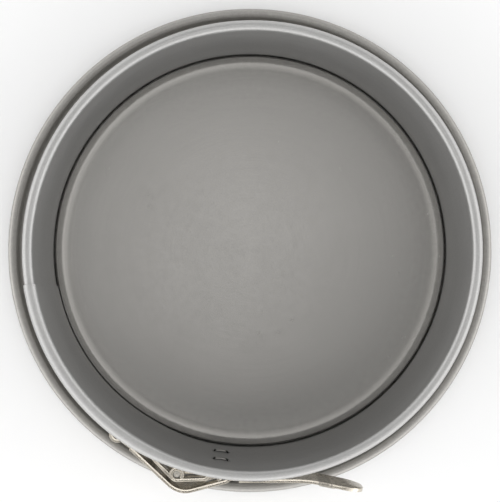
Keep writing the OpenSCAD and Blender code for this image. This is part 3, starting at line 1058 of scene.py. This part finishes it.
ear_curl_r = EYE_R + ANCHOR_T / 2
ear_foot = at_wall(PLATE[1], ANCHOR_T / 2)
ear_touch = touch(ear_foot, ANCHOR, ear_curl_r, -1)
plate_stations = [PLATE[0] + i * PLATE_STEP for i in range(PLATE_POINTS)]
plate_path = [tuple(at_wall(s, ANCHOR_T / 2)) for s in plate_stations]
plate_path += [tuple(ear_foot)]
plate_path += arc(ANCHOR, ear_curl_r, ear_touch, ear_touch - EAR_TURN, 30)
anchor = folded("anchor_plate", plate_path, ANCHOR_H, [(ear_foot, EAR_SOFT)])
pick("VERT", lambda p: from_wall(p)[0] < PLATE[0] + NEAR)
bpy.ops.mesh.bevel(affect="VERTICES", offset=PLATE_CORNER * MM, segments=5)
cut_level(EAR_H)
remove_faces(lambda s, off, z: (s > EAR_S or off > EAR_OFF) and z > EAR_H / 2)
thicken(anchor, ANCHOR_T, ANCHOR_ROUNDING)
dress(anchor, "band", "latch_plate", plate_nickel, "anchor_bracket")

# %% [markdown]
# ## Rivets and pins
# Two rivets with low domed heads hold the anchor plate. A head starts as a cylinder
# that lies at the origin, where its rim is easy to pick and round, and is only then
# turned outwards and moved to its place on the wall.

# %% Rivets
RIVET_S = -40.2
RIVET_APART = 14
RIVET_R = 2.6
RIVET_RISE = 0.9
RIVET_INSET = 0.5
RIVET_RIM = 2.4
RIVET_SOFT = 0.42
NEAR_TOP_SHARE = 0.45


def rivet(z):
    """A low dome on the anchor plate, pointing away from the band."""
    fresh()
    bpy.ops.mesh.primitive_cylinder_add(
        vertices=40, radius=RIVET_R * MM, depth=RIVET_RISE * MM
    )
    dome = bpy.context.object
    edit(dome)
    near_top = RIVET_RISE * MM * NEAR_TOP_SHARE
    pick("FACE", lambda p: p.z > near_top)
    bpy.ops.mesh.inset(thickness=RIVET_INSET * MM)
    pick("EDGE", lambda p: p.z > near_top and math.hypot(p.x, p.y) > RIVET_RIM * MM)
    bpy.ops.mesh.bevel(offset=RIVET_SOFT * MM, segments=4, affect="EDGES")
    fresh()
    dome.select_set(True)
    bpy.context.view_layer.objects.active = dome
    base = at_wall(RIVET_S, ANCHOR_T).to_3d()
    outward = base.normalized()
    stand = outward.to_track_quat("Z", "Y").to_matrix().to_4x4()
    place = (base + Vector((0, 0, z)) + outward * RIVET_RISE / 2) * MM
    dome.matrix_world = Matrix.Translation(place) @ stand
    bpy.ops.object.transform_apply(location=True, rotation=True, scale=True)
    return dome


rivets = join([rivet(MID_Z + side * RIVET_APART / 2) for side in (-1, 1)], "rivet_heads")
dress(rivets, "band", "pin_steel", rod_nickel, "anchor_rivets")

# %% [markdown]
# ### Pins
# A pin is a short rod. Its ends are turned down a little and carry a centre mark, so its
# outline is drawn from end to end and spun, as a turner would make it. One function makes
# all three, and each gets its own mesh, length and place.

# %% Pins
LONG_PIN, SHORT_PIN = 24.4, 16.4
NECK_R, NECK_L, NECK_RAMP = 1.42, 1.5, 0.2
END_R, CHAMFER = 1.34, 0.1
MARK = ((0.6, 0), (0.4, 0.2), (0, 0.25))
PIN_STEPS = 48


def pin(name, centre, length):
    """A rod on end, with the outline of its upper end mirrored at its lower end."""
    half = length / 2
    end = [(PIN_R, half - NECK_L - NECK_RAMP), (NECK_R, half - NECK_L)]
    end += [(NECK_R, half - CHAMFER), (END_R, half)]
    end += [(r, half - depth) for r, depth in MARK]
    profile = [(r, -z) for r, z in reversed(end)] + end
    rod = draw_chain(name, [(r, 0, z) for r, z in profile])
    spin_round(360, PIN_STEPS)
    bpy.ops.mesh.select_all(action="SELECT")
    bpy.ops.mesh.remove_doubles(threshold=SAME_PLACE)
    bpy.ops.mesh.normals_make_consistent(inside=False)
    place = Vector((centre[0], centre[1], MID_Z)) * MM
    bpy.ops.transform.translate(value=place)
    return rod


for name, centre, length, body, node in (
    ("fulcrum_rod", FULCRUM, LONG_PIN, "band", "fulcrum_pin"),
    ("link_rod", LINK_PIN, LONG_PIN, "lever", "link_pin"),
    ("anchor_rod", ANCHOR, SHORT_PIN, "band", "anchor_pin"),
):
    dress(pin(name, centre, length), body, "pin_steel", rod_nickel, node)

# %% [markdown]
# ## Studio
# A plain white floor and soft light from all round. The sides shine more than the part
# straight above, so that the flat floor of the pan stays grey while the rolled edges
# catch the light. Left and right are a little brighter, and the far side is darker. A
# small bright spot straight above lights the middle of the floor, and a darker place
# beside it shades the floor's near side. Lamps would show in the metal as hard shapes,
# and a world that only depends on direction does the same without them.

# %% Floor and light
SIDE_LIGHT = 2.3
TOP_LOSS = 1.5
SIDE_GAIN = 0.3
FAR_LOSS = 1.0
SPOT_GAIN = 2.0
NEAR_LOSS = 1.1
HIGH, FAR, SPOT = (0.3, 0.85), (0.1, 0.9), (0.984, 0.997)
SHADE_SIDE, SHADE_TOP = (0.05, 0.2), (0.9, 0.97)
PAPER = 0.93
GROUND = 4

fresh()
bpy.ops.mesh.primitive_plane_add(size=GROUND)
ground = bpy.context.object
ground.name = "studio_floor"
paper = Finish("paper", Roughness=0.9, Specular_IOR_Level=0.1)
paper.shader.inputs["Base Color"].default_value = (PAPER, PAPER, PAPER, 1)
ground.data.materials.append(paper.material)
ground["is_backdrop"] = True

world = bpy.data.worlds.new("studio")
bpy.context.scene.world = world
world.use_nodes = True


class Sky(Finish):
    """The world's nodes, added in the same way as a finish's."""

    def __init__(self, tree):
        self.tree = tree


sky = Sky(world.node_tree)
backdrop = sky.tree.nodes["Background"]
x, y, z = sky.parts(sky.node("ShaderNodeTexCoord", {}, {}, "Generated"))
height, far, overhead = sky.rise(z, *HIGH), sky.rise(y, *FAR), sky.rise(z, *SPOT)
near = sky.rise(0.0 - y, *SHADE_SIDE) * sky.rise(z, *SHADE_TOP)
glow = SIDE_LIGHT - height * TOP_LOSS + x * x * SIDE_GAIN - far * FAR_LOSS
glow = glow + overhead * SPOT_GAIN - near * NEAR_LOSS
sky.feed(backdrop.inputs["Strength"], glow)
backdrop.inputs["Color"].default_value = (1.0, 1.0, 1.0, 1)
bpy.context.scene.view_settings.view_transform = "Standard"
print("sky nodes", len(sky.tree.nodes))

# %% [markdown]
# ## Sizes and the end
# The new pieces have to stay inside the box of the solids, or the pan would be bigger
# than the part that it dresses. Both boxes are gathered, and the box of the new pieces
# is printed.

# %% Sizes
new_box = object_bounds()
sizes = {"cad": [list(c) for c in cad_box], "visual": [list(c) for c in new_box]}
print("box", [[round(v / MM, 2) for v in corner] for corner in new_box])
